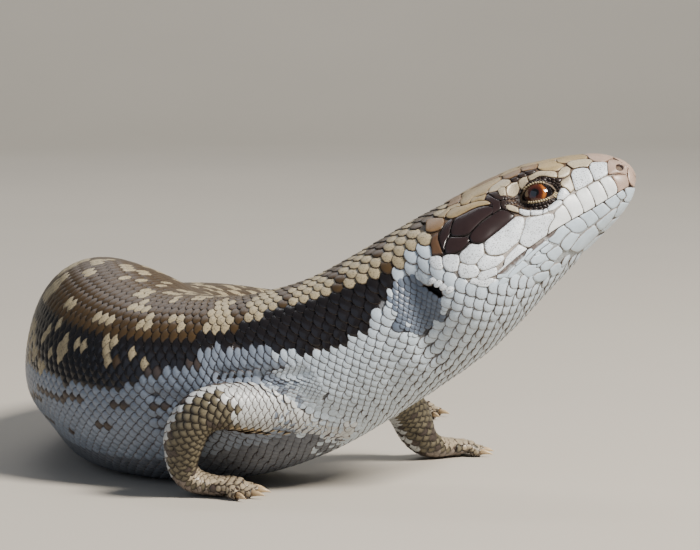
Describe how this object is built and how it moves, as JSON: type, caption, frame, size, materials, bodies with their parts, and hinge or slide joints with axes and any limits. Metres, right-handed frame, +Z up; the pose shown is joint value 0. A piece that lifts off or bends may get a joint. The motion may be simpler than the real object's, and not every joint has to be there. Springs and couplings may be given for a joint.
{
  "type": "lizard figure",
  "caption": "Blue tongued skink at rest with its belly on the ground, its long body bent to one side, its head raised on a sloping neck and its short legs splayed",
  "frame": {"origin": "middle of the bottom of the whole box, on the level the belly, tail and feet rest on", "axes": "+Z up; the raised head points along +X; the body runs back along -X and bends round toward +Y, where the tail lies; the animal's right side faces -Y"},
  "size_m": [0.1472, 0.3356, 0.0759],
  "materials": {
    "scaled_skin": "overlapping smooth scales, brown and cream above, pale blue grey below, slightly glossy",
    "eye_surface": "wet and glossy, red brown iris with a black pupil",
    "claw_horn": "pale translucent horn, slightly glossy"
  },
  "bodies": {
    "root": {"head": "scaled_skin", "lower_jaw": "scaled_skin", "eye_left": "eye_surface", "eye_right": "eye_surface", "neck": "scaled_skin", "chest": "scaled_skin", "trunk_middle": "scaled_skin", "trunk_rear": "scaled_skin", "hips": "scaled_skin", "tail_base": "scaled_skin", "tail_middle": "scaled_skin", "tail_tip": "scaled_skin", "fore_right_upper": "scaled_skin", "fore_right_lower": "scaled_skin", "fore_right_foot": "scaled_skin", "claw_fore_right_1": "claw_horn", "claw_fore_right_2": "claw_horn", "claw_fore_right_3": "claw_horn", "claw_fore_right_4": "claw_horn", "claw_fore_right_5": "claw_horn", "fore_left_upper": "scaled_skin", "fore_left_lower": "scaled_skin", "fore_left_foot": "scaled_skin", "claw_fore_left_1": "claw_horn", "claw_fore_left_2": "claw_horn", "claw_fore_left_3": "claw_horn", "claw_fore_left_4": "claw_horn", "claw_fore_left_5": "claw_horn", "hind_right_upper": "scaled_skin", "hind_right_lower": "scaled_skin", "hind_right_foot": "scaled_skin", "claw_hind_right_1": "claw_horn", "claw_hind_right_2": "claw_horn", "claw_hind_right_3": "claw_horn", "claw_hind_right_4": "claw_horn", "claw_hind_right_5": "claw_horn", "hind_left_upper": "scaled_skin", "hind_left_lower": "scaled_skin", "hind_left_foot": "scaled_skin", "claw_hind_left_1": "claw_horn", "claw_hind_left_2": "claw_horn", "claw_hind_left_3": "claw_horn", "claw_hind_left_4": "claw_horn", "claw_hind_left_5": "claw_horn"}
  },
  "joints": []
}
